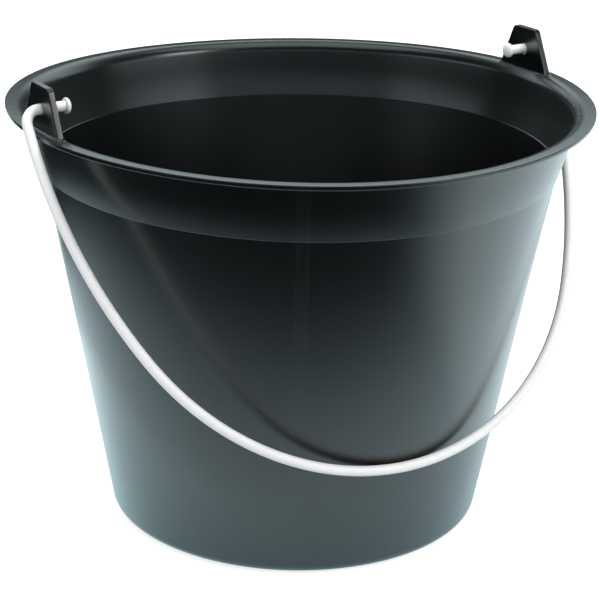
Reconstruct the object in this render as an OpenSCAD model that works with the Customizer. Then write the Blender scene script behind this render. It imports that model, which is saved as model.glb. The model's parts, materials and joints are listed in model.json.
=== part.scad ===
// A tapered plastic bucket, moulded in one piece with its collar, lip and two ears,
// and the wire bail that swings in the ears.
// The origin is the middle of the base, on the ground. +Z is up, the ears stand on the
// X axis, and the bail hangs against the wall on the -Y side. Millimetres.

/* [Bucket] */
// Diameter over the lip
rim_d = 320; // [240:1:400]
// Height of the lip above the ground
rim_h = 238; // [180:1:320]
// Diameter of the wall where it meets the ground
foot_d = 210; // [160:1:260]
// Thickness of the wall, the collar and the lip
wall_t = 2.2; // [1.5:0.1:3.5]
// Thickness of the floor
floor_t = 2.6; // [1.8:0.1:4]
// Height of the floor's underside above the ground
recess_h = 3; // [1:0.5:8]
// Width of the ring that the bucket stands on, with its rounded edge
foot_w = 9; // [8:0.5:14]
// Radius of the rounded edge round the outside of the foot
foot_round_r = 6.5; // [1:0.5:8]
// Radius of the fillet between the floor and the wall, inside
floor_fillet_r = 6; // [3:0.5:12]

/* [Collar and lip] */
// Height of the collar, from its step to the top of the lip
collar_h = 34.5; // [20:0.5:60]
// Slope of the collar, from upright
collar_angle = 12; // [4:0.5:16]
// Slope that the collar curves in to at its foot
collar_foot_angle = 18; // [17:0.5:24]
// Height of the curved part at the foot of the collar
collar_curve_h = 18; // [8:1:20]
// How far the collar's foot stands out from the wall at the step
step_w = 0.8; // [0.6:0.1:3]
// Radius of the rounded edge under the collar
step_round_r = 0.4; // [0.2:0.1:0.6]
// Width of the flat part of the lip
lip_w = 5.2; // [4:0.1:12]
// Radius of the bend under the lip
lip_bend_r = 5.2; // [2:0.1:7]
// Radius of the two corners of the lip's edge
lip_edge_r = 0.5; // [0.2:0.1:0.7]

/* [Ears] */
// Height of the ears above the lip
ear_h = 24; // [18:0.5:40]
// Width of an ear at its foot
ear_foot_w = 42; // [30:1:60]
// Width of an ear at its top
ear_top_w = 19.6; // [14:0.2:28]
// Thickness of an ear
ear_t = 3.6; // [2.5:0.1:5]
// Radius of an ear's two top corners
ear_corner_r = 2; // [1:0.5:4]
// Height of the bail's axis above the lip
ear_axis_h = 11.3; // [9:0.1:15]
// Distance from the lip's inner edge to the middle of an ear, inwards
ear_inset = 1.9; // [0:0.1:2.5]

/* [Bail] */
// Thickness of the wire
wire_d = 5.5; // [3.5:0.1:7]
// How far the bail reaches past the lip when it is level
bail_reach = 60; // [40:1:90]
// How much less the grip's radius is than half of the bail's width
grip_inset = 15; // [8:1:30]
// Length of the straight leg under each bend
leg_l = 2; // [1:1:30]
// Radius of the bend from a leg into its ear, to the wire's middle
bend_r = 8; // [6:0.5:12]
// Length of wire that shows between an ear and the head inside it
head_play = 10.5; // [4:0.5:14]
// Diameter of the heads that keep the wire in the ears
head_d = 8.4; // [7.5:0.1:12]
// Thickness of a head
head_t = 3; // [2:0.1:4]

/* [Clearances] */
// Gap between the wire and the hole in an ear, all round
hole_gap = 0.5; // [0.3:0.05:1]
// Gap between the wire's legs and the edge of the lip
lip_gap = 0.45; // [0.3:0.05:2]
// Gap between the bail at rest and the wall
rest_gap = 0.6; // [0.3:0.1:3]

/* [Hidden] */

rim_r = rim_d / 2;
foot_r = foot_d / 2;
step_z = rim_h - collar_h;
floor_z = recess_h + floor_t;
recess_draft = 0.5;

// The bend from the collar into the lip
bend_c = [rim_r - lip_w, rim_h - wall_t - lip_bend_r];
bend_top_r = lip_bend_r + wall_t;
collar_top = bend_c + lip_bend_r * [-cos(collar_angle), sin(collar_angle)];

// The curve at the foot of the collar, which ends below the bend into the lip: its height,
// its radius and middle, and the collar's radius at the step
curve_h = min(collar_curve_h, collar_top[1] - step_z - 0.5);
collar_curve_r = curve_h / (sin(collar_foot_angle) - sin(collar_angle));
collar_curve_z = step_z + curve_h;
collar_curve_c = [
    collar_top[0] - (collar_top[1] - collar_curve_z) * tan(collar_angle) - collar_curve_r * cos(collar_angle),
    collar_curve_z + collar_curve_r * sin(collar_angle)
];
collar_r = collar_curve_c[0] + collar_curve_r * cos(collar_foot_angle);

// Where that curve meets the rounded edge outside, and the ledge inside
step_turn = asin((collar_curve_c[1] - step_z - step_round_r) / (collar_curve_r - step_round_r));
step_c = collar_curve_c + (collar_curve_r - step_round_r) * [cos(step_turn), -sin(step_turn)];
ledge_z = step_z + wall_t;
collar_curve_in_r = collar_curve_r - wall_t;
ledge_turn = asin((collar_curve_c[1] - ledge_z) / collar_curve_in_r);

// The wall, a cone from the ground to the step
wall_top_r = collar_r - step_w;
wall_slope = (wall_top_r - foot_r) / step_z;
wall_angle = atan(wall_slope);
wall_in_t = wall_t / cos(wall_angle);

// The bail's axis, its half width and its depth, to the wire's middle
axis_z = rim_h + ear_axis_h;
wire_r = wire_d / 2;
bail_a = rim_r + lip_gap + wire_r;
bail_b = rim_r + bail_reach;
grip_r = bail_a - grip_inset;
side_z = bend_r + leg_l;
grip_drop = bail_b - grip_r - side_z;
side_r = (bail_a * bail_a + grip_drop * grip_drop - grip_r * grip_r) / (2 * grip_inset);
grip_half = atan((side_r - bail_a) / grip_drop);
joint_extra = 0.06;

// The bail leans out until its lowest point is rest_gap from the wall
wall_at_axis = (foot_r + wall_slope * axis_z) * cos(wall_angle);
lean = asin((wall_at_axis + wire_r + rest_gap) / bail_b) - wall_angle;

// The ears, as flat plates across the X axis
ear_x = rim_r - lip_w - ear_inset;
ear_in_x = ear_x - ear_t / 2;
ear_bed = sqrt(bend_top_r * bend_top_r - (bend_c[0] - ear_in_x) * (bend_c[0] - ear_in_x));
ear_sink = bend_top_r - ear_bed + 0.3;
hole_d = wire_d + 2 * hole_gap;
head_x = ear_in_x - head_play;

// Points along an arc in the (radius, height) plane, in turn from one angle to the other
function arc(c, r, from, to, n = 8, first = 0) =
    [for (i = [first:n]) c + r * [cos(from + (to - from) * i / n), sin(from + (to - from) * i / n)]];

// The wall's outside and inside radius at a height
function wall_out(z) = foot_r + wall_slope * z;
function wall_in(z) = wall_out(z) - wall_in_t;

// Middle of a circle of radius r that touches the wall's line from the inside at height z
function outside_round_c(r) = [wall_out(r) - r / cos(wall_angle), r];
function inside_round_c(r) = [wall_in(floor_z + r) - r / cos(wall_angle), floor_z + r];

// Half of the bucket's cross-section, from the axis out, up the outside and down the inside
function section() = concat(
    [[0, recess_h], [foot_r - foot_w - recess_draft, recess_h], [foot_r - foot_w, 0]],
    arc(outside_round_c(foot_round_r), foot_round_r, -90, -wall_angle),
    [[wall_top_r, step_z]],
    arc(step_c, step_round_r, -90, -step_turn, 4),
    arc(collar_curve_c, collar_curve_r, -step_turn, -collar_angle, 8, 1),
    arc(bend_c, lip_bend_r, 180 - collar_angle, 90),
    arc([rim_r - lip_edge_r, rim_h - wall_t + lip_edge_r], lip_edge_r, -90, 0, 4),
    arc([rim_r - lip_edge_r, rim_h - lip_edge_r], lip_edge_r, 0, 90, 4),
    arc(bend_c, bend_top_r, 90, 180 - collar_angle),
    arc(collar_curve_c, collar_curve_in_r, -collar_angle, -ledge_turn),
    [[wall_in(ledge_z), ledge_z]],
    arc(inside_round_c(floor_fillet_r), floor_fillet_r, -wall_angle, -90),
    [[0, floor_z]]
);

// Outline of an ear, with its foot sunk into the lip: x is across the ear, y is up from the lip
module ear_outline() {
    top_y = ear_h;
    half_top = ear_top_w / 2;
    half_foot = ear_foot_w / 2;
    edge_angle = atan((half_foot - half_top) / top_y);
    corner_x = half_top - ear_corner_r * tan((90 - edge_angle) / 2);
    corner_c = [corner_x, top_y - ear_corner_r];
    right = concat(
        [[half_foot, 0]],
        arc(corner_c, ear_corner_r, edge_angle, 90, 6)
    );
    left = [for (i = [len(right) - 1:-1:0]) [-right[i][0], right[i][1]]];
    polygon(concat([[half_foot, -ear_sink]], right, left, [[-half_foot, -ear_sink]]));
}

module ear() {
    translate([ear_in_x, 0, rim_h])
        rotate([90, 0, 90])
            linear_extrude(ear_t)
                ear_outline();
}

module ear_hole() {
    translate([ear_in_x - 1, 0, axis_z])
        rotate([0, 90, 0])
            cylinder(d = hole_d, h = ear_t + 2, $fn = 48);
}

module bucket() {
    color([0.10, 0.11, 0.12])
        difference() {
            union() {
                rotate_extrude($fn = 180) polygon(section());
                ear();
                mirror([1, 0, 0]) ear();
            }
            ear_hole();
            mirror([1, 0, 0]) ear_hole();
        }
}

// A piece of bent wire in the XZ plane, round a middle at (x, z), between two angles
module wire_arc(x, z, r, from, to, steps) {
    translate([x, 0, z])
        rotate([90, 0, 0])
            rotate([0, 0, from])
                rotate_extrude(angle = to - from, $fn = steps)
                    translate([r, 0]) circle(d = wire_d, $fn = 32);
}

// A ball a hair thicker than the wire, which makes the two bends that meet in it one solid
module wire_joint(x, z) {
    translate([x, 0, z]) sphere(d = wire_d + joint_extra, $fn = 32);
}

// One end of the bail: leg, bend, the stub through the ear and the head inside it
module wire_end() {
    wire_joint(bail_a, -side_z);
    translate([bail_a, 0, -side_z]) cylinder(d = wire_d, h = leg_l, $fn = 32);
    wire_arc(bail_a - bend_r, -bend_r, bend_r, 0, 90, 64);
    translate([head_x, 0, 0])
        rotate([0, 90, 0])
            cylinder(d = wire_d, h = bail_a - bend_r - head_x, $fn = 32);
    translate([head_x, 0, 0])
        rotate([0, -90, 0])
            rotate_extrude($fn = 48) polygon(head_section());
}

// Half of a head's cross-section: flat towards the ear, domed on its other side
function head_section() = concat(
    [[0, 0], [head_d / 2, 0], [head_d / 2, head_t / 3]],
    [for (i = [1:6]) [head_d / 2 * cos(15 * i), head_t / 3 + head_t * 2 / 3 * sin(15 * i)]]
);

// One side of the bail, from the side arc up
module bail_side() {
    wire_joint(grip_r * sin(grip_half), grip_r * (1 - cos(grip_half)) - bail_b);
    wire_arc(bail_a - side_r, -side_z, side_r, grip_half - 90, 0, 360);
    wire_end();
}

module bail() {
    color([0.93, 0.93, 0.92])
        translate([0, 0, axis_z])
            rotate([-lean, 0, 0]) {
                wire_arc(0, grip_r - bail_b, grip_r, 270 - grip_half, 270 + grip_half, 360);
                bail_side();
                mirror([1, 0, 0]) bail_side();
            }
}

bucket();
bail();
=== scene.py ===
# %% [markdown]
# # A florist's bucket
#
# The object is a tapered plastic bucket, moulded in one piece with its collar, lip and
# two ears, and a coated wire bail that swings in the ears. The CAD model fixes every
# size and place. This script builds the looks round it: first the shapes, then the
# finishes, then a small studio.

# %% Load the frame
import json
import math

import bpy
import numpy as np
from mathutils import Matrix, Vector

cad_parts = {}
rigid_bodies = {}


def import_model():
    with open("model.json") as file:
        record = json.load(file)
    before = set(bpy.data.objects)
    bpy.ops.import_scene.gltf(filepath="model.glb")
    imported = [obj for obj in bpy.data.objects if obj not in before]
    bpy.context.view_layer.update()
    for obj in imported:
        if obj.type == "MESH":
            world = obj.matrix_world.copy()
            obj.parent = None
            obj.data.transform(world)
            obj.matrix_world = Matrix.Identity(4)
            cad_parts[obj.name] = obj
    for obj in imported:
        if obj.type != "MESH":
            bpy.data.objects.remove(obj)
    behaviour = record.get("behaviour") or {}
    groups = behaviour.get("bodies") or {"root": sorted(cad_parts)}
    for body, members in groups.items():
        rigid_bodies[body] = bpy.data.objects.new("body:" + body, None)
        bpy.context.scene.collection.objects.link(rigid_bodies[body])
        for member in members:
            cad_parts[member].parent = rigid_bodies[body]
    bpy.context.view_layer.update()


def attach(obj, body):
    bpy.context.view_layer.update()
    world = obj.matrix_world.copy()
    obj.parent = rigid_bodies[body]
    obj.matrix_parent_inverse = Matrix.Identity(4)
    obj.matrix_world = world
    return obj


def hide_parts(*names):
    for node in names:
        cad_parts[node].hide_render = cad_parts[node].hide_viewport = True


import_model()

# %% [markdown]
# ## Helpers for node trees
#
# Shapes and finishes below are node trees. Each node is added with its settings and its
# inputs in one call. An input takes either a plain value or the output of another node,
# so a tree reads from top to bottom like a list of steps.

# %% Two helpers that write node trees


def add_node(tree, kind, inputs=None, **settings):
    """Adds a node to a tree, with its settings and its inputs, and returns it."""
    node = tree.nodes.new(kind)
    for name, value in settings.items():
        setattr(node, name, value)
    for name, value in (inputs or {}).items():
        if isinstance(value, bpy.types.NodeSocket):
            tree.links.new(value, node.inputs[name])
        else:
            node.inputs[name].default_value = value
    return node


def calculate(tree, operation, *values):
    """Adds a Math node and returns its result."""
    inputs = dict(enumerate(values))
    return add_node(tree, "ShaderNodeMath", inputs, operation=operation).outputs[0]


# %% [markdown]
# A Geometry Nodes tree is a recipe: a start mesh goes in, with named sizes, and the
# finished mesh comes out. The next helpers make an empty recipe, and run one on a mesh.
# Running it gives a plain mesh at the end, so nothing is left to evaluate later.

# %% Helpers that make and run a recipe
SOCKETS = {
    int: "NodeSocketInt",
    float: "NodeSocketFloat",
    bpy.types.Object: "NodeSocketObject",
    bpy.types.Material: "NodeSocketMaterial",
}


def new_recipe(name, **kinds):
    """Makes a Geometry Nodes tree with a mesh input and named inputs of these kinds."""
    tree = bpy.data.node_groups.new(name, "GeometryNodeTree")
    tree.interface.new_socket("Mesh", in_out="INPUT", socket_type="NodeSocketGeometry")
    for label, kind in kinds.items():
        title = label.replace("_", " ").capitalize()
        tree.interface.new_socket(title, in_out="INPUT", socket_type=SOCKETS[kind])
    tree.interface.new_socket("Mesh", in_out="OUTPUT", socket_type="NodeSocketGeometry")
    return tree, tree.nodes.new("NodeGroupInput").outputs


def finish_recipe(tree, mesh, material):
    """Ends a recipe: instances made real, the material set, the result sent out."""
    real = add_node(tree, "GeometryNodeRealizeInstances", {"Geometry": mesh})
    painted = add_node(
        tree,
        "GeometryNodeSetMaterial",
        {"Geometry": real.outputs[0], "Material": material},
    )
    out = tree.nodes.new("NodeGroupOutput")
    tree.links.new(painted.outputs[0], out.inputs[0])


def run_recipe(tree, name, start, **values):
    """Runs a recipe on a start mesh and returns a new object that holds the result."""
    carrier = bpy.data.objects.new(name + "_start", start)
    bpy.context.scene.collection.objects.link(carrier)
    modifier = carrier.modifiers.new("recipe", "NODES")
    modifier.node_group = tree
    normals = carrier.modifiers.new("normals", "WEIGHTED_NORMAL")
    normals.keep_sharp = True
    for item in tree.interface.items_tree:
        label = item.name.lower().replace(" ", "_")
        if item.in_out == "INPUT" and label in values:
            modifier[item.identifier] = values[label]
    view = bpy.context.evaluated_depsgraph_get()
    mesh = bpy.data.meshes.new_from_object(carrier.evaluated_get(view))
    mesh.name = name
    bpy.data.objects.remove(carrier)
    made = bpy.data.objects.new(name, mesh)
    bpy.context.scene.collection.objects.link(made)
    return made


def polyline(name, points):
    """A mesh of points joined in a row, in the XZ plane, for a recipe to turn or sweep."""
    mesh = bpy.data.meshes.new(name)
    rows = [(i, i + 1) for i in range(len(points) - 1)]
    mesh.from_pydata(points, rows, [])
    return mesh


def measure(obj):
    """Prints a piece's triangles and box, and whether its mesh is closed."""
    co = np.array([v.co for v in obj.data.vertices])
    uses = np.zeros(len(obj.data.edges), int)
    for polygon in obj.data.polygons:
        for key in polygon.loop_indices:
            uses[obj.data.loops[key].edge_index] += 1
    obj.data.calc_loop_triangles()
    print(
        f"{obj.name}: {len(obj.data.loop_triangles)} triangles,",
        f"open or doubled edges {int((uses != 2).sum())},",
        "box",
        [round(float(v), 5) for v in (*co.min(0), *co.max(0))],
    )


# %% [markdown]
# ## The bucket's cross-section
#
# The bucket is moulded, and nearly all of it is one outline turned round the middle. The
# outline could be drawn by hand as a curve. It is computed here instead, from the same
# sizes as the CAD model, because then its roundings and its even wall come out exact.

# %% Sizes of the bucket, in metres
MM = 0.001
RIM_R = 160 * MM
RIM_H = 238 * MM
FOOT_R = 105 * MM
WALL_T = 2.2 * MM
FLOOR_T = 2.6 * MM
RECESS_H = 3 * MM
RECESS_DRAFT = 0.5 * MM
FOOT_W = 9 * MM
FOOT_ROUND_R = 6.5 * MM
FLOOR_FILLET_R = 6 * MM
COLLAR_H = 34.5 * MM
COLLAR_SLOPE = math.radians(12)
COLLAR_FOOT_SLOPE = math.radians(18)
COLLAR_CURVE_H = 18 * MM
STEP_W = 0.8 * MM
STEP_ROUND_R = 0.4 * MM
LIP_W = 5.2 * MM
LIP_BEND_R = 5.2 * MM
LIP_EDGE_R = 0.5 * MM

STEP_Z = RIM_H - COLLAR_H
FLOOR_Z = RECESS_H + FLOOR_T
BEND_C = (RIM_R - LIP_W, RIM_H - WALL_T - LIP_BEND_R)
COLLAR_TOP = (
    BEND_C[0] - LIP_BEND_R * math.cos(COLLAR_SLOPE),
    BEND_C[1] + LIP_BEND_R * math.sin(COLLAR_SLOPE),
)
CURVE_R = COLLAR_CURVE_H / (math.sin(COLLAR_FOOT_SLOPE) - math.sin(COLLAR_SLOPE))
CURVE_TOP = STEP_Z + COLLAR_CURVE_H
CURVE_C = (
    COLLAR_TOP[0]
    - (COLLAR_TOP[1] - CURVE_TOP) * math.tan(COLLAR_SLOPE)
    - CURVE_R * math.cos(COLLAR_SLOPE),
    CURVE_TOP + CURVE_R * math.sin(COLLAR_SLOPE),
)
COLLAR_R = CURVE_C[0] + CURVE_R * math.cos(COLLAR_FOOT_SLOPE)
WALL_TOP_R = COLLAR_R - STEP_W
WALL_SLOPE = math.atan((WALL_TOP_R - FOOT_R) / STEP_Z)
print(f"wall slope {math.degrees(WALL_SLOPE):.2f} degrees, collar foot {COLLAR_R / MM:.2f} mm")

# %% The outline, from the middle of the underside out, up and back down inside


def arc(centre, radius, start, end, steps=8):
    """Points along an arc in the (radius, height) plane, with angles in radians."""
    angles = [start + (end - start) * i / steps for i in range(steps + 1)]
    return [
        (centre[0] + radius * math.cos(a), centre[1] + radius * math.sin(a))
        for a in angles
    ]


def stretch(start, end, gap):
    """Even points on a straight stretch, without its two ends."""
    count = max(1, round(math.dist(start, end) / gap))
    return [
        tuple(a + (b - a) * i / count for a, b in zip(start, end))
        for i in range(1, count)
    ]


def wall_radius(height, inside):
    """The wall's outside or inside radius at a height."""
    thickness = WALL_T / math.cos(WALL_SLOPE) if inside else 0
    return FOOT_R + math.tan(WALL_SLOPE) * height - thickness


def touching(radius, floor, inside):
    """The middle of a rounding that touches the floor and the wall."""
    height = floor + radius
    return wall_radius(height, inside) - radius / math.cos(WALL_SLOPE), height


def bucket_outline(gap=6 * MM):
    """The whole closed cross-section of the bucket, as (radius, height) points."""
    quarter = math.pi / 2
    ledge_z = STEP_Z + WALL_T
    ledge_turn = math.asin((CURVE_C[1] - ledge_z) / (CURVE_R - WALL_T))
    reach = CURVE_R - STEP_ROUND_R
    step_turn = math.asin((CURVE_C[1] - STEP_Z - STEP_ROUND_R) / reach)
    step_c = (CURVE_C[0] + reach * math.cos(step_turn), STEP_Z + STEP_ROUND_R)
    low_edge = (RIM_R - LIP_EDGE_R, RIM_H - WALL_T + LIP_EDGE_R)
    high_edge = (RIM_R - LIP_EDGE_R, RIM_H - LIP_EDGE_R)
    parts = [
        [(0, RECESS_H)],
        [(FOOT_R - FOOT_W - RECESS_DRAFT, RECESS_H)],
        [(FOOT_R - FOOT_W, 0)],
        arc(touching(FOOT_ROUND_R, 0, False), FOOT_ROUND_R, -quarter, -WALL_SLOPE),
        [(WALL_TOP_R, STEP_Z)],
        arc(step_c, STEP_ROUND_R, -quarter, -step_turn, 5),
        arc(CURVE_C, CURVE_R, -step_turn, -COLLAR_SLOPE)[1:],
        arc(BEND_C, LIP_BEND_R, math.pi - COLLAR_SLOPE, quarter),
        arc(low_edge, LIP_EDGE_R, -quarter, 0, 5),
        arc(high_edge, LIP_EDGE_R, 0, quarter, 5),
        arc(BEND_C, LIP_BEND_R + WALL_T, quarter, math.pi - COLLAR_SLOPE),
        arc(CURVE_C, CURVE_R - WALL_T, -COLLAR_SLOPE, -ledge_turn),
        [(wall_radius(ledge_z, True), ledge_z)],
        arc(touching(FLOOR_FILLET_R, FLOOR_Z, True), FLOOR_FILLET_R, -WALL_SLOPE, -quarter),
        [(0, FLOOR_Z)],
    ]
    outline = list(parts[0])
    for part in parts[1:]:
        outline += stretch(outline[-1], part[0], gap) + part
    return outline


outline = bucket_outline()
print("outline points:", len(outline))

# %% [markdown]
# ## Turning an outline
#
# Turning works like a lathe: the outline is swept round a small circle. A Screw or Spin
# would do it too, but a recipe lets the same steps turn the bucket and its ear holes.
# All points that reach the axis fall together, so they are merged, which closes the
# poles at the middle of the floor.

# %% The steps that turn an outline
HUB_R = 10 * MM


def turned(tree, start, steps):
    """Adds the steps that turn a polyline in the XZ plane round the Z axis."""
    curve = add_node(tree, "GeometryNodeMeshToCurve", {"Mesh": start})
    circle = add_node(
        tree,
        "GeometryNodeCurvePrimitiveCircle",
        {"Resolution": steps, "Radius": HUB_R},
    )
    swept = add_node(
        tree,
        "GeometryNodeCurveToMesh",
        {"Curve": circle.outputs[0], "Profile Curve": curve.outputs[0]},
    )
    merged = add_node(
        tree,
        "GeometryNodeMergeByDistance",
        {"Geometry": swept.outputs[0], "Distance": 0.02 * MM},
    )
    return merged.outputs[0]


def as_profile(points):
    """Outline points as a sweep profile: X is the distance out from the hub, Y is down."""
    return [(radius - HUB_R, -height, 0) for radius, height in reversed(points)]


# %% [markdown]
# ## Ears
#
# Each ear is a flat plate that stands on the lip, wide at its foot and narrow at its
# top, with softened edges and a small fillet where it grows out of the lip. A cube with
# bevels could do for the plate, but not for the fillet, which must follow the lip's
# round shape. So the plate is lofted: level slices, each a rounded rectangle, joined
# one above the other.

# %% Sizes of an ear
EAR_H = 24 * MM
EAR_FOOT_W = 42 * MM
EAR_TOP_W = 19.6 * MM
EAR_T = 3.6 * MM
EAR_CORNER_R = 2 * MM
EAR_EDGE_R = 0.5 * MM
EAR_FILLET_R = 1.2 * MM
EAR_SINK = 1.1 * MM
EAR_X = RIM_R - LIP_W - 1.9 * MM
AXIS_Z = RIM_H + 11.3 * MM
HOLE_R = 3.25 * MM
print(f"ear plates at {EAR_X / MM:.1f} mm, bail axis at {AXIS_Z / MM:.1f} mm")

# %% Slices of an ear


def rounded_rectangle(half_x, half_y, radius, corner=4, side=14, end=4):
    """Points round a rectangle with rounded corners, in turn, from the +X side."""
    quarter = arc((half_x - radius, half_y - radius), radius, 0, math.pi / 2, corner)
    across = np.linspace(half_x - radius, radius - half_x, end + 1)[1:-1]
    down = np.linspace(half_y - radius, radius - half_y, side + 1)[1:-1]
    half = quarter + [(x, half_y) for x in across]
    half += [(-x, y) for x, y in reversed(quarter)] + [(-half_x, y) for y in down]
    return half + [(-x, -y) for x, y in half]


def ear_slices():
    """Height above the lip, half thickness and half width of each slice of an ear."""
    slope = (EAR_FOOT_W - EAR_TOP_W) / 2 / EAR_H
    rows = [(-EAR_SINK, EAR_T / 2 + EAR_FILLET_R, EAR_FOOT_W / 2 + EAR_FILLET_R)]
    for turn in np.linspace(0, math.pi / 2, 6):
        height = EAR_FILLET_R * (1 - math.cos(turn))
        spread = EAR_FILLET_R * (1 - math.sin(turn))
        rows.append((height, EAR_T / 2 + spread, EAR_FOOT_W / 2 - slope * height + spread))
    corner_z = EAR_H - EAR_CORNER_R
    for height in np.linspace(EAR_FILLET_R, corner_z, 9)[1:]:
        rows.append((height, EAR_T / 2, EAR_FOOT_W / 2 - slope * height))
    for turn in np.linspace(0, math.pi / 2, 9)[1:]:
        height = corner_z + EAR_CORNER_R * math.sin(turn)
        edge = max(0, height - EAR_H + EAR_EDGE_R)
        inset = EAR_EDGE_R - math.sqrt(EAR_EDGE_R**2 - edge**2)
        pull = EAR_CORNER_R * (1 - math.cos(turn))
        rows.append((height, EAR_T / 2 - inset, EAR_FOOT_W / 2 - slope * height - pull))
    return rows


def lip_height(radius):
    """Height of the lip's top over a distance from the axis."""
    past = max(0, BEND_C[0] - radius)
    return BEND_C[1] + math.sqrt((LIP_BEND_R + WALL_T) ** 2 - past**2)


def ear_points():
    """Every slice's points in place, with the lowest ones set down on the lip."""
    slices = []
    for height, half_x, half_y in ear_slices():
        settle = 1 - min(1, max(0, height / (4 * MM)))
        ring = []
        for x, y in rounded_rectangle(half_x, half_y, EAR_EDGE_R):
            drop = lip_height(math.hypot(EAR_X + x, y)) - RIM_H
            ring.append((EAR_X + x, y, RIM_H + height + drop * settle))
        slices.append(ring)
    return slices


def lofted(name, slices):
    """A closed mesh through slices that all have the same number of points."""
    count = len(slices[0])
    faces = [tuple(reversed(range(count)))]
    for row in range(len(slices) - 1):
        for i in range(count):
            j = (i + 1) % count
            low, high = row * count, (row + 1) * count
            faces.append((low + i, low + j, high + j, high + i))
    faces.append(tuple(range((len(slices) - 1) * count, len(slices) * count)))
    mesh = bpy.data.meshes.new(name)
    mesh.from_pydata([point for ring in slices for point in ring], [], faces)
    return mesh


ear_mesh = lofted("ear", ear_points())
print("ear faces:", len(ear_mesh.polygons))

# %% [markdown]
# ## The bucket's recipe
#
# The recipe turns the outline, joins the two ears to it and drills their holes, with
# exact Boolean operations, so that the moulding is one closed skin. Then it gives the
# clean shape what a real moulding has. A bucket cools unevenly, so its rim is a little
# saddle-shaped and its wall not quite round. That is done by moving points, because it
# has to show in the outline and in the way the light runs over the wall.

# %% The steps that let the moulding settle out of true
RIM_SAG = 1.66 * MM
RIM_SAG_TURN = -0.2216
RIM_OVAL = 1.3 * MM
WALL_WAVE = 0.5 * MM


def settled(tree, mesh, sag, oval, wave):
    """Adds the steps that bend the rim, push it out of round and wave the wall."""
    place = tree.nodes.new("GeometryNodeInputPosition").outputs[0]
    parts = add_node(tree, "ShaderNodeSeparateXYZ", {0: place}).outputs
    flat = add_node(tree, "ShaderNodeCombineXYZ", {"X": parts["X"], "Y": parts["Y"]})
    away = add_node(tree, "ShaderNodeVectorMath", {0: flat.outputs[0]}, operation="NORMALIZE")
    turn = calculate(tree, "ARCTAN2", parts["Y"], parts["X"])

    at_rim = calculate(tree, "POWER", calculate(tree, "DIVIDE", parts["Z"], RIM_H), 12)
    at_rim = calculate(tree, "MINIMUM", at_rim, 1)
    around_twice = calculate(tree, "SINE", calculate(tree, "MULTIPLY", turn, -2))
    squeeze = calculate(tree, "MULTIPLY", calculate(tree, "MULTIPLY", around_twice, at_rim), oval)

    doubled = calculate(tree, "MULTIPLY", calculate(tree, "SUBTRACT", turn, RIM_SAG_TURN), 2)
    dip = calculate(tree, "SUBTRACT", calculate(tree, "COSINE", doubled), 1)
    rise = calculate(tree, "POWER", calculate(tree, "DIVIDE", parts["Z"], RIM_H), 2)
    down = calculate(tree, "MULTIPLY", calculate(tree, "MULTIPLY", dip, rise), sag)

    noise = add_node(tree, "ShaderNodeTexNoise", {"Vector": place, "Scale": 11, "Detail": 1})
    inward = calculate(tree, "SUBTRACT", noise.outputs[0], 1)
    flare = calculate(tree, "MULTIPLY", inward, wave)

    out = calculate(tree, "ADD", flare, squeeze)
    sideways = add_node(
        tree,
        "ShaderNodeVectorMath",
        {0: away.outputs[0], "Scale": out},
        operation="SCALE",
    )
    fall = add_node(tree, "ShaderNodeCombineXYZ", {"Z": down})
    move = add_node(
        tree,
        "ShaderNodeVectorMath",
        {0: sideways.outputs[0], 1: fall.outputs[0]},
        operation="ADD",
    )
    moved = add_node(
        tree,
        "GeometryNodeSetPosition",
        {"Geometry": mesh, "Offset": move.outputs[0]},
    )
    return moved.outputs[0]


# %% The steps that join, drill and shade
SHARP = math.radians(35)


def combined(tree, operation, base, others, solver="MANIFOLD"):
    """Adds a Boolean step between one mesh and a list of others."""
    node = add_node(tree, "GeometryNodeMeshBoolean", operation=operation, solver=solver)
    if operation == "DIFFERENCE":
        tree.links.new(base, node.inputs["Mesh 1"])
    else:
        others = [base] + others
    for other in others:
        tree.links.new(other, node.inputs["Mesh 2"])
    return node.outputs["Mesh"]


def smooth_with_edges(tree, mesh):
    """Adds smooth shading that stops at edges sharper than SHARP."""
    smooth = add_node(tree, "GeometryNodeSetShadeSmooth", {"Geometry": mesh})
    angle = tree.nodes.new("GeometryNodeInputMeshEdgeAngle").outputs["Unsigned Angle"]
    sharp = add_node(tree, "FunctionNodeCompare", {0: angle, 1: SHARP}, operation="GREATER_THAN")
    broken = add_node(
        tree,
        "GeometryNodeSetShadeSmooth",
        {"Geometry": smooth.outputs[0], "Selection": sharp.outputs[0], "Shade Smooth": False},
        domain="EDGE",
    )
    return broken.outputs[0]


def half_turned(tree, mesh):
    """Adds a half turn round the Z axis, for the piece on the other side."""
    node = add_node(tree, "GeometryNodeTransform", {"Geometry": mesh, "Rotation": (0, 0, math.pi)})
    return node.outputs[0]


def borrowed(tree, obj):
    """Adds a node that reads another object's mesh."""
    return add_node(tree, "GeometryNodeObjectInfo", {"Object": obj}).outputs["Geometry"]


# %% The recipe itself
bucket_recipe, given = new_recipe(
    "bucket_recipe",
    steps_round=int,
    rim_sag=float,
    rim_oval=float,
    wall_wave=float,
    ear=bpy.types.Object,
    drill=bpy.types.Object,
    finish=bpy.types.Material,
)
body = turned(bucket_recipe, given["Mesh"], given["Steps round"])
ear = borrowed(bucket_recipe, given["Ear"])
drill = borrowed(bucket_recipe, given["Drill"])
ears = [ear, half_turned(bucket_recipe, ear)]
drills = [drill, half_turned(bucket_recipe, drill)]
body = combined(bucket_recipe, "UNION", body, ears)
body = combined(bucket_recipe, "DIFFERENCE", body, drills)
body = settled(
    bucket_recipe,
    body,
    given["Rim sag"],
    given["Rim oval"],
    given["Wall wave"],
)
body = smooth_with_edges(bucket_recipe, body)
finish_recipe(bucket_recipe, body, given["Finish"])
print("bucket recipe nodes:", len(bucket_recipe.nodes))

# %% [markdown]
# The drill is a small turned shape too: a rod with flared ends, so that each hole's
# edge is softened like a moulded one. It is turned from an outline and laid along X.

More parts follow.
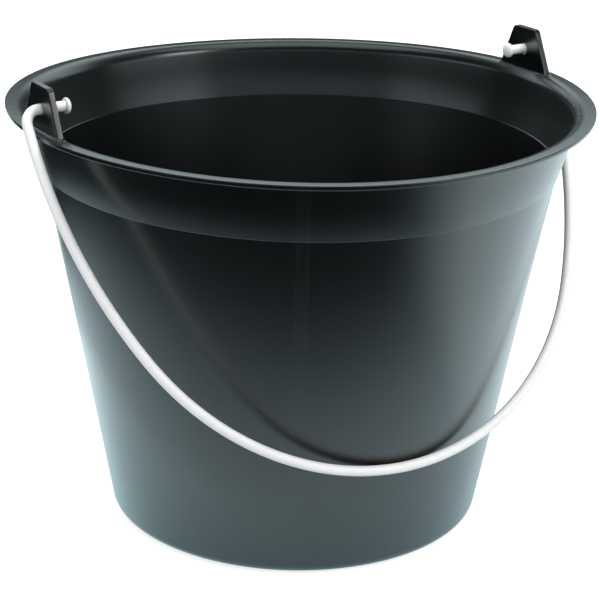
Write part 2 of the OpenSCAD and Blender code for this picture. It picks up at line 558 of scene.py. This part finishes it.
# %% The drill for the ear holes


def helper_object(name, mesh):
    """An object that only lends its mesh to a recipe, and is removed afterwards."""
    obj = bpy.data.objects.new(name, mesh)
    bpy.context.scene.collection.objects.link(obj)
    return obj


def lathe(name, outline, steps):
    """A closed mesh from an outline that starts and ends on the axis, along +X."""
    points = []
    faces = []
    for x, r in outline[1:-1]:
        for i in range(steps):
            turn = 2 * math.pi * i / steps
            points.append((x, r * math.cos(turn), r * math.sin(turn)))
    rows = len(outline) - 2
    for row in range(rows - 1):
        for i in range(steps):
            j = (i + 1) % steps
            low, high = row * steps, (row + 1) * steps
            faces.append((low + i, low + j, high + j, high + i))
    faces.append(tuple(reversed(range(steps))))
    faces.append(tuple(range((rows - 1) * steps, rows * steps)))
    mesh = bpy.data.meshes.new(name)
    mesh.from_pydata(points, [], faces)
    return mesh


def drill_outline(flare=0.4 * MM):
    """The drill's outline along X: (distance from the bucket's axis, radius)."""
    near, far = EAR_X - EAR_T / 2, EAR_X + EAR_T / 2
    mouth = arc((near + flare, HOLE_R + flare), flare, -math.pi, -math.pi / 2, 4)
    other = [(near + far - x, r) for x, r in reversed(mouth)]
    start = [(near - 2 * MM, 0), (near - 2 * MM, HOLE_R + flare)]
    end = [(far + 2 * MM, HOLE_R + flare), (far + 2 * MM, 0)]
    return start + mouth + other + end


drill_mesh = lathe("drill", drill_outline(), 48)
drill_mesh.transform(Matrix.Translation((0, 0, AXIS_Z)))
print("drill faces:", len(drill_mesh.polygons))

# %% [markdown]
# ## The bail
#
# The bail is one length of wire: a wide grip arc, two gentler side arcs, a tight bend
# into each ear, and a head pressed on each end so that it can't pull out. A curve with
# a bevel would show the wire, but not the heads. Here a row of points carries its own
# girth, and the recipe sweeps a circle along it, so the heads grow out of the wire.

# %% Sizes of the bail
WIRE_R = 2.75 * MM
BAIL_A = RIM_R + 0.45 * MM + WIRE_R
BAIL_B = RIM_R + 60 * MM
GRIP_R = BAIL_A - 15 * MM
BEND_R = 8 * MM
SIDE_DEPTH = BEND_R + 2 * MM
GRIP_DROP = BAIL_B - GRIP_R - SIDE_DEPTH
SIDE_R = (BAIL_A**2 + GRIP_DROP**2 - GRIP_R**2) / (2 * (BAIL_A - GRIP_R))
GRIP_HALF = math.atan((SIDE_R - BAIL_A) / GRIP_DROP)
HEAD_X = EAR_X - EAR_T / 2 - 10.5 * MM
HEAD_R = 4.2 * MM
HEAD_T = 3 * MM
REST_GAP = 0.6 * MM
WALL_AT_AXIS = (FOOT_R + math.tan(WALL_SLOPE) * AXIS_Z) * math.cos(WALL_SLOPE)
LEAN = math.asin((WALL_AT_AXIS + WIRE_R + REST_GAP) / BAIL_B) - WALL_SLOPE
print(f"bail leans {math.degrees(LEAN):.2f} degrees, side arcs {SIDE_R / MM:.1f} mm")

# %% The bail's middle line, as (across, down from the axis, girth) points


def half_bail():
    """One half of the bail, from the middle of the grip to the end of its head."""
    quarter = math.pi / 2
    line = arc((0, BAIL_B - GRIP_R), GRIP_R, quarter, quarter - GRIP_HALF, 60)
    line += arc((BAIL_A - SIDE_R, SIDE_DEPTH), SIDE_R, quarter - GRIP_HALF, 0, 48)[1:]
    line += arc((BAIL_A - BEND_R, BEND_R), BEND_R, 0, -quarter, 14)
    line += stretch(line[-1], (HEAD_X, 0), 1.5 * MM)
    points = [(x, down, 1) for x, down in line]
    points.append((HEAD_X + 0.05 * MM, 0, 1))
    soft = ((0, 3.85), (0.08, 4.05), (0.3, 4.2), (0.9, 4.2))
    points += [(HEAD_X - x * MM, 0, r * MM / WIRE_R) for x, r in soft]
    for turn in np.linspace(0.1, 0.96, 9) * quarter:
        x = HEAD_X - MM - (HEAD_T - MM) * math.sin(turn)
        points.append((x, 0, HEAD_R * math.cos(turn) / WIRE_R))
    return points


def bail_line():
    """The bail's middle line as a mesh of points that carry their girth."""
    half = half_bail()
    points = [(-x, down, girth) for x, down, girth in reversed(half[1:])] + half
    mesh = polyline("bail_line", [(x, 0, -down) for x, down, girth in points])
    girths = mesh.attributes.new("girth", "FLOAT", "POINT")
    girths.data.foreach_set("value", [girth for x, down, girth in points])
    return mesh


print("points in half of the bail:", len(half_bail()))

# %% The bail's recipe
bail_recipe, given = new_recipe(
    "bail_recipe",
    wire_radius=float,
    sides_round=int,
    axis_height=float,
    lean=float,
    finish=bpy.types.Material,
)
line = add_node(bail_recipe, "GeometryNodeMeshToCurve", {"Mesh": given["Mesh"]})
girth = add_node(bail_recipe, "GeometryNodeInputNamedAttribute", {"Name": "girth"})
circle = add_node(
    bail_recipe,
    "GeometryNodeCurvePrimitiveCircle",
    {"Resolution": given["Sides round"], "Radius": given["Wire radius"]},
)
wire = add_node(
    bail_recipe,
    "GeometryNodeCurveToMesh",
    {
        "Curve": line.outputs[0],
        "Profile Curve": circle.outputs[0],
        "Scale": girth.outputs[0],
        "Fill Caps": True,
    },
)
back = calculate(bail_recipe, "MULTIPLY", given["Lean"], -1)
tilt = add_node(bail_recipe, "ShaderNodeCombineXYZ", {"X": back})
raised = add_node(bail_recipe, "ShaderNodeCombineXYZ", {"Z": given["Axis height"]})
hung = add_node(
    bail_recipe,
    "GeometryNodeTransform",
    {
        "Geometry": wire.outputs[0],
        "Translation": raised.outputs[0],
        "Rotation": tilt.outputs[0],
    },
)
shaded = smooth_with_edges(bail_recipe, hung.outputs[0])
finish_recipe(bail_recipe, shaded, given["Finish"])
print("bail recipe nodes:", len(bail_recipe.nodes))

# %% [markdown]
# ## Finishes
#
# Both finishes are procedural and read Object coordinates, so that they stay on the
# pieces when these move. The plastic is a black polypropylene with a satin skin: nearly
# all of its light is a broad, soft reflection. Its gloss varies a little with the way
# the plastic flowed in the mould, its skin is very slightly grained, and handling has
# left faint scuffs, mostly round the foot and the lip.

# %% Helpers for finishes


def new_finish(name):
    """Makes an empty node material and returns it with its shader node."""
    material = bpy.data.materials.new(name)
    material.use_nodes = True
    tree = material.node_tree
    tree.nodes.clear()
    shader = tree.nodes.new("ShaderNodeBsdfPrincipled")
    out = tree.nodes.new("ShaderNodeOutputMaterial")
    tree.links.new(shader.outputs[0], out.inputs["Surface"])
    return material, shader


def object_place(tree):
    """Adds Object coordinates, which are the row's own frame, in metres."""
    return tree.nodes.new("ShaderNodeTexCoord").outputs["Object"]


def stretched(tree, place, scale):
    """Adds a Mapping that makes a pattern finer or coarser along each axis."""
    return add_node(tree, "ShaderNodeMapping", {"Vector": place, "Scale": scale}).outputs[0]


def noise(tree, place, scale, detail=2.0, roughness=0.5):
    """Adds a noise pattern with this many blobs in a metre."""
    values = {"Vector": place, "Scale": scale, "Detail": detail, "Roughness": roughness}
    return add_node(tree, "ShaderNodeTexNoise", values).outputs[0]


def spread(tree, value, low, high, to_low, to_high):
    """Adds a clamped change of range from low..high to to_low..to_high."""
    values = {"Value": value, 1: low, 2: high, 3: to_low, 4: to_high}
    return add_node(tree, "ShaderNodeMapRange", values).outputs[0]


def blended(tree, amount, first, second):
    """Adds a mix of two colours by an amount."""
    node = tree.nodes.new("ShaderNodeMix")
    node.data_type = "RGBA"
    tree.links.new(amount, node.inputs[0])
    for socket, colour in ((node.inputs[6], first), (node.inputs[7], second)):
        if isinstance(colour, bpy.types.NodeSocket):
            tree.links.new(colour, socket)
        else:
            socket.default_value = (*colour, 1)
    return node.outputs[2]


# %% [markdown]
# The mould's parting leaves a faint pair of witness lines down the front of the bucket.
# They are far too fine for the mesh, so they are drawn across the surface: the angle
# round the axis, times the radius, is a distance in metres along the wall.

# %% The mould's witness lines
STRIP_TURN = math.radians(-120)
STRIP_HALF = 2.6 * MM


def witness_lines(tree, place):
    """Adds a value that is 1 on two fine lines down the wall, and half between them."""
    parts = add_node(tree, "ShaderNodeSeparateXYZ", {0: place}).outputs
    flat = add_node(tree, "ShaderNodeCombineXYZ", {"X": parts["X"], "Y": parts["Y"]}).outputs[0]
    radius = add_node(tree, "ShaderNodeVectorMath", {0: flat}, operation="LENGTH").outputs["Value"]
    turn = calculate(tree, "ARCTAN2", parts["Y"], parts["X"])
    off = calculate(tree, "ABSOLUTE", calculate(tree, "SUBTRACT", turn, STRIP_TURN))
    across = calculate(tree, "MULTIPLY", off, radius)
    beside = calculate(tree, "ABSOLUTE", calculate(tree, "SUBTRACT", across, STRIP_HALF))
    lines = spread(tree, beside, 0.4 * MM, 1.4 * MM, 1, 0)
    between = spread(tree, across, STRIP_HALF, STRIP_HALF + 1.5 * MM, 0.5, 0)
    both = calculate(tree, "MAXIMUM", lines, between)
    return calculate(tree, "MULTIPLY", both, spread(tree, parts["Z"], 0.06, 0.11, 0, 1))


# %% Black moulded plastic
black_plastic, shader = new_finish("black_moulded_plastic")
tree = black_plastic.node_tree
place = object_place(tree)
height = add_node(tree, "ShaderNodeSeparateXYZ", {0: place}).outputs["Z"]

flow = noise(tree, stretched(tree, place, (1, 1, 0.3)), 26, 3)
patches = noise(tree, place, 9, 2)
grain = noise(tree, place, 1400, 2)
ripple = noise(tree, stretched(tree, place, (1, 1, 0.5)), 60, 2)

scratches = noise(tree, stretched(tree, place, (30, 30, 260)), 1, 3, 0.7)
scratched = spread(tree, scratches, 0.66, 0.74, 0, 1)
low_down = spread(tree, height, 0.0, 0.03, 1, 0)
at_lip = spread(tree, height, 0.233, 0.237, 0, 0.5)
handled = calculate(tree, "MAXIMUM", low_down, at_lip)
everywhere = calculate(tree, "ADD", handled, 0.15)
scuff = calculate(tree, "MULTIPLY", scratched, everywhere)

flowed = spread(tree, flow, 0.3, 0.7, 0, 1)
tone = blended(tree, flowed, (0.0009, 0.0011, 0.0012), (0.0015, 0.0018, 0.002))
parting = witness_lines(tree, place)
tone = blended(tree, calculate(tree, "MULTIPLY", parting, 0.06), tone, (0.06, 0.062, 0.066))
tone = blended(tree, calculate(tree, "MULTIPLY", scuff, 0.35), tone, (0.06, 0.062, 0.064))
tree.links.new(tone, shader.inputs["Base Color"])

gloss = spread(tree, patches, 0.3, 0.7, 0.24, 0.3)
gloss = calculate(tree, "ADD", gloss, calculate(tree, "MULTIPLY", scuff, 0.12))
tree.links.new(gloss, shader.inputs["Roughness"])

skin = calculate(tree, "ADD", calculate(tree, "MULTIPLY", grain, 0.008), ripple)
skin = calculate(tree, "ADD", skin, calculate(tree, "MULTIPLY", parting, 0.5))
bump = add_node(tree, "ShaderNodeBump", {"Strength": 0.25, "Distance": 0.02 * MM, "Height": skin})
tree.links.new(bump.outputs[0], shader.inputs["Normal"])
shader.inputs["IOR"].default_value = 1.5
shader.inputs["Coat Weight"].default_value = 1.0
shader.inputs["Coat Roughness"].default_value = 0.27
shader.inputs["Coat IOR"].default_value = 1.6
print("plastic nodes:", len(tree.nodes))

# %% [markdown]
# The bail's coating is white plastic baked on steel. It is smooth, slightly wavy where
# it ran before it set, and rubbed grey only where the wire turns in the ears.

# %% White coated wire
white_coating, shader = new_finish("white_coated_wire")
tree = white_coating.node_tree
place = object_place(tree)
parts = add_node(tree, "ShaderNodeSeparateXYZ", {0: place}).outputs
away = calculate(tree, "ABSOLUTE", parts["X"])

runs = noise(tree, place, 90, 2)
specks = noise(tree, place, 700, 3, 0.6)
inner = spread(tree, away, EAR_X - 4 * MM, EAR_X - 2 * MM, 0, 1)
outer = spread(tree, away, EAR_X + 2 * MM, EAR_X + 4 * MM, 1, 0)
high = spread(tree, parts["Z"], AXIS_Z - 6 * MM, AXIS_Z - 4 * MM, 0, 1)
in_hole = calculate(tree, "MULTIPLY", calculate(tree, "MULTIPLY", inner, outer), high)
rubbed = calculate(tree, "MULTIPLY", in_hole, spread(tree, specks, 0.45, 0.6, 0, 1))

tone = blended(tree, spread(tree, runs, 0.3, 0.7, 0, 1), (0.87, 0.87, 0.865), (0.9, 0.9, 0.895))
tone = blended(tree, calculate(tree, "MULTIPLY", rubbed, 0.5), tone, (0.42, 0.42, 0.42))
tree.links.new(tone, shader.inputs["Base Color"])
gloss = spread(tree, runs, 0.3, 0.7, 0.3, 0.42)
tree.links.new(gloss, shader.inputs["Roughness"])
bump = add_node(tree, "ShaderNodeBump", {"Strength": 0.2, "Distance": 0.02 * MM, "Height": runs})
tree.links.new(bump.outputs[0], shader.inputs["Normal"])
shader.inputs["IOR"].default_value = 1.48
print("coating nodes:", len(tree.nodes))

# %% [markdown]
# ## Making the two pieces
#
# Each recipe is run on its outline. The result rides on its CAD body, so that the
# joint moves it, and stands for its CAD node, which is hidden.

# %% Run the recipes
ear_lender = helper_object("ear_lender", ear_mesh)
drill_lender = helper_object("drill_lender", drill_mesh)
bucket_moulding = run_recipe(
    bucket_recipe,
    "bucket_moulding",
    polyline("bucket_outline", as_profile(outline)),
    steps_round=480,
    rim_sag=RIM_SAG,
    rim_oval=RIM_OVAL,
    wall_wave=WALL_WAVE,
    ear=ear_lender,
    drill=drill_lender,
    finish=black_plastic,
)
for lender in (ear_lender, drill_lender):
    bpy.data.objects.remove(lender)
measure(bucket_moulding)

bail_wire = run_recipe(
    bail_recipe,
    "bail_wire",
    bail_line(),
    wire_radius=WIRE_R,
    sides_round=32,
    axis_height=AXIS_Z,
    lean=LEAN,
    finish=white_coating,
)
measure(bail_wire)

# %% Tie them to the frame
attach(bucket_moulding, "bucket")
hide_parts("bucket")
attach(bail_wire, "bail")
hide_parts("bail")
print("pieces ride on their bodies")

# %% [markdown]
# ## Camera
#
# The camera stands in front and to the left of the bucket and looks a little down, with
# a long lens, so that the mouth is an open oval and the lines stay calm.

# %% Place the camera
CAMERA_TURN = 0.54027
CAMERA_AWAY = 1.04919
CAMERA_UP = 0.50636
CAMERA_PITCH = 0.35363
CAMERA_YAW = 0.0016
CAMERA_ROLL = 0.01833

camera = bpy.data.objects.new("camera", bpy.data.cameras.new("camera"))
bpy.context.scene.collection.objects.link(camera)
camera.data.sensor_width = 36
camera.data.lens = 117.9
camera.data.clip_start = 0.02
camera.data.clip_end = 50
around = Matrix.Rotation(-CAMERA_TURN, 4, "Z")
stand = around @ Matrix.Translation((0, -CAMERA_AWAY, CAMERA_UP))
look = Matrix.Rotation(-CAMERA_YAW, 4, "Z") @ Matrix.Rotation(math.pi / 2 - CAMERA_PITCH, 4, "X")
camera.matrix_world = stand @ look @ Matrix.Rotation(CAMERA_ROLL, 4, "Z")
bpy.context.scene.camera = camera
print("camera at", [round(v, 4) for v in camera.matrix_world.translation])

# %% [markdown]
# ## Studio
#
# The bucket stands on a wide white table in soft light from above, behind and the
# right. A black object has hardly any colour of its own, so what it mirrors is what
# gives it shape. That is set with cards, as studios do for glossy things. Only
# reflections see the cards, so they neither show nor shade:
#
# - a card that lies on the table round the bucket fades from white, near the foot, to
#   black further out, and turns white again at the far right: the sides come out pale,
#   and the front deep, darkest under the step;
# - a dim card lies behind, and a black one stands far back, for the edges of the sides;
# - grey and pale cards stand beside the camera, for the far wall inside the collar;
# - a cool card stands high behind, for the flat top of the lip and the ears, and one
#   like it hangs overhead;
# - dark cards close the room in further out, on four sides and above.
#
# The table and the room glow by themselves where the camera looks straight at them, so
# that the ground is white, and the table still takes the bucket's shadow.

# %% Helpers for the studio
ONE_FACE = ((0, 1, 2, 3),)


def sheet_object(name, corners, material, faces=ONE_FACE):
    """A flat stage piece through its corners."""
    mesh = bpy.data.meshes.new(name)
    mesh.from_pydata(corners, [], faces)
    mesh.materials.append(material)
    obj = bpy.data.objects.new(name, mesh)
    bpy.context.scene.collection.objects.link(obj)
    return obj


def seen_directly(tree):
    """Adds two values: 1 for camera, mirror and glass rays, and 1 for mirror rays alone."""
    rays = tree.nodes.new("ShaderNodeLightPath").outputs
    both = calculate(tree, "MAXIMUM", rays["Is Camera Ray"], rays["Is Glossy Ray"])
    seen = calculate(tree, "MAXIMUM", both, rays["Is Transmission Ray"])
    return seen, rays["Is Glossy Ray"]


def soft_lamp(name, place, aim, size, power, mirrored=True):
    """A square soft lamp at a place, turned to a point."""
    data = bpy.data.lights.new(name, "AREA")
    data.shape = "RECTANGLE"
    data.size, data.size_y = size
    data.energy = power
    lamp = bpy.data.objects.new(name, data)
    bpy.context.scene.collection.objects.link(lamp)
    direction = Vector(aim) - Vector(place)
    turn = direction.to_track_quat("-Z", "Y").to_matrix().to_4x4()
    lamp.matrix_world = around @ Matrix.Translation(place) @ turn
    lamp.visible_glossy = mirrored


# %% [markdown]
# The table's white is a matt white under the lamps and a glow that only straight looks
# and reflections see. In reflections the glow is cool, and stronger on the left.

# %% Table
POOL = Vector((0.0, 0.085, 0))
TABLE = 6.0
TABLE_Z = -0.3 * MM
SQUARE = ((-1, -1), (1, -1), (1, 1), (-1, 1))
COOL_LEFT = (0.36, 0.63, 0.68)
COOL_RIGHT = (0.2, 0.41, 0.47)


def room_place(tree):
    """Adds coordinates as the camera sees the room, X right and Y away, from POOL."""
    values = {
        "Vector": object_place(tree),
        "Location": around @ POOL,
        "Rotation": (0, 0, -CAMERA_TURN),
    }
    return add_node(tree, "ShaderNodeMapping", values, vector_type="TEXTURE").outputs[0]


table_white = bpy.data.materials.new("table_white")
table_white.use_nodes = True
tree = table_white.node_tree
tree.nodes.clear()
matt = add_node(tree, "ShaderNodeBsdfDiffuse", {"Color": (0.5, 0.5, 0.5, 1)})
across = add_node(tree, "ShaderNodeSeparateXYZ", {0: room_place(tree)}).outputs["X"]
to_right = spread(tree, across, -0.12, 0.02, 0, 1)
in_mirror = blended(tree, to_right, COOL_LEFT, COOL_RIGHT)
seen, mirrored = seen_directly(tree)
tint = blended(tree, mirrored, (0.76, 0.76, 0.76), in_mirror)
glow = add_node(tree, "ShaderNodeEmission", {"Color": tint, "Strength": seen})
table_shader = add_node(tree, "ShaderNodeAddShader", {0: matt.outputs[0], 1: glow.outputs[0]})
add_node(tree, "ShaderNodeOutputMaterial", {"Surface": table_shader.outputs[0]})
corners = [(x * TABLE, y * TABLE, TABLE_Z) for x, y in SQUARE]
sheet_object("table", corners, table_white)
print("table:", 2 * TABLE, "m square")

# %% [markdown]
# The cards. A lying card is a ring with a round cut, so that it starts a little way
# from the foot. A standing card is a rectangle across the view, or beside the camera.

# %% Helpers for the cards
CARD_Z = 1 * MM
CARD_REACH = 3.0


def card_finish(name, colour):
    """A finish that only glows, in one colour, and the node that sets how much."""
    finish = bpy.data.materials.new(name)
    finish.use_nodes = True
    tree = finish.node_tree
    tree.nodes.clear()
    glow = add_node(tree, "ShaderNodeEmission", {"Color": (*colour, 1), "Strength": 1.0})
    add_node(tree, "ShaderNodeOutputMaterial", {"Surface": glow.outputs[0]})
    return finish, glow


def card(name, corners, finish, faces=ONE_FACE):
    """A card that only reflections see, set out as the camera sees the room."""
    made = sheet_object(name, corners, finish, faces)
    made.data.transform(around)
    made.visible_camera = False
    made.visible_diffuse = False
    made.visible_transmission = False
    made.visible_shadow = False
    made.visible_volume_scatter = False


def round_cut(radius, start, end, steps=48):
    """Corners and faces of a lying card, cut round POOL, in degrees from the front."""
    points = []
    for i in range(steps + 1):
        turn = math.radians(start + (end - start) * i / steps)
        out = (-math.sin(turn), -math.cos(turn))
        for r in (radius, CARD_REACH):
            points.append((POOL[0] + out[0] * r, POOL[1] + out[1] * r, CARD_Z))
    faces = [(2 * i, 2 * i + 1, 2 * i + 3, 2 * i + 2) for i in range(steps)]
    return points, faces


def standing(left, right, away, low, high):
    """Corners of a card that stands across the view, behind or before the bucket."""
    return [(left, away, low), (right, away, low), (right, away, high), (left, away, high)]


def aside(side, low, high):
    """Corners of a card that stands beside the camera, on its left (-1) or right (1)."""
    near, far = (0.95 * side, -0.95), (1.35 * side, 0.15)
    return [(*near, low), (*far, low), (*far, high), (*near, high)]


# %% The card that lies round the bucket and fades
COOL_WHITE = (0.72, 0.93, 1.0)
POOL_FULL = 0.24
POOL_END = 0.43
POOL_WIDTH = 1.12

card_fading, glow = card_finish("card_fading", COOL_WHITE)
tree = card_fading.node_tree
room = room_place(tree)
wide = stretched(tree, room, (1 / POOL_WIDTH, 1, 0))
off = add_node(tree, "ShaderNodeVectorMath", {0: wide}, operation="LENGTH")
fade = add_node(
    tree,
    "ShaderNodeMapRange",
    {"Value": off.outputs["Value"], 1: POOL_FULL, 2: POOL_END, 3: 1.0, 4: 0.02},
    interpolation_type="SMOOTHSTEP",
)
sides = add_node(tree, "ShaderNodeSeparateXYZ", {0: room}).outputs
ahead = calculate(tree, "MULTIPLY", sides["Y"], -1)
turn = calculate(tree, "ARCTAN2", sides["X"], ahead)
rise = add_node(
    tree,
    "ShaderNodeMapRange",
    {"Value": turn, 1: math.radians(30), 2: math.radians(56), 3: 0.0, 4: 1.0},
    interpolation_type="SMOOTHSTEP",
)
strength = calculate(tree, "MAXIMUM", fade.outputs[0], rise.outputs[0])
tree.links.new(strength, glow.inputs["Strength"])
corners, faces = round_cut(POOL_FULL, -56, 135)
card("card_lying", corners, card_fading, faces)

# %% The cards that stand or hang, and the one that lies behind
OVER = 0.8
OVER_Z = 1.8
ROOM = 3.2
ROOM_H = 3.0

card_black = card_finish("card_black", (0.015, 0.02, 0.022))[0]
card("card_back", standing(-1.6, 1.6, 1.5, 0.0, 0.78), card_black)

card_grey = card_finish("card_grey", (0.4, 0.5, 0.53))[0]
card("card_front", standing(-1.25, 1.25, -1.5, 0.58, 0.95), card_grey)

card_pale = card_finish("card_pale", (0.74, 0.92, 0.95))[0]
card("card_left", aside(-1, 0.47, 0.8), card_pale)
card("card_right", aside(1, 0.45, 0.8), card_pale)

card_dim = card_finish("card_dim", (0.25, 0.33, 0.35))[0]
corners, faces = round_cut(0.22, 150, 210)
card("card_behind", corners, card_dim, faces)

card_cool, glow = card_finish("card_cool", (0.84, 0.98, 1.0))
glow.inputs["Strength"].default_value = 1.15
card("card_high", standing(-1.0, 1.0, 0.6, 0.44, 0.8), card_cool)
card("card_over", [(x * OVER, y * OVER, OVER_Z) for x, y in SQUARE], card_cool)

card_dark = card_finish("card_dark", (0.03, 0.04, 0.043))[0]
corners = [(x * ROOM, y * ROOM, z) for z in (2 * CARD_Z, ROOM_H) for x, y in SQUARE]
faces = ((0, 1, 5, 4), (1, 2, 6, 5), (2, 3, 7, 6), (3, 0, 4, 7), (4, 5, 6, 7))
card("card_room", corners, card_dark, faces)

cards = [obj.name for obj in bpy.data.objects if obj.name.startswith("card_")]
print("cards:", cards)

# %% [markdown]
# The room is an even, nearly white light, and full white where the camera or a
# reflection looks straight at it.

# %% Room light and lamps
world = bpy.data.worlds.new("studio")
world.use_nodes = True
bpy.context.scene.world = world
tree = world.node_tree
tree.nodes.clear()
seen = seen_directly(tree)[0]
strength = spread(tree, seen, 0, 1, 0.92, 1.0)
room_light = {"Color": (0.97, 0.99, 1.0, 1), "Strength": strength}
sky = add_node(tree, "ShaderNodeBackground", room_light)
add_node(tree, "ShaderNodeOutputWorld", {"Surface": sky.outputs[0]})

soft_lamp("lamp_over", (0.1, 0.1, 1.8), (0, 0, 0.1), (1.6, 1.6), 21, False)
soft_lamp("lamp_right", (1.12, -0.65, 1.0), (0, 0, 0.25), (0.7, 0.7), 2.2, False)
soft_lamp("lamp_edge", (1.12, -0.6, 1.2), (0, 0, 0.25), (0.45, 0.45), 3.8)
soft_lamp("lamp_back", (-0.1, 1.3, 0.95), (0, 0, 0.24), (1.4, 0.5), 2.1, False)
print("lamps:", len(bpy.data.lights))

# %% View settings
bpy.context.scene.view_settings.view_transform = "Standard"
print("view transform:", bpy.context.scene.view_settings.view_transform)
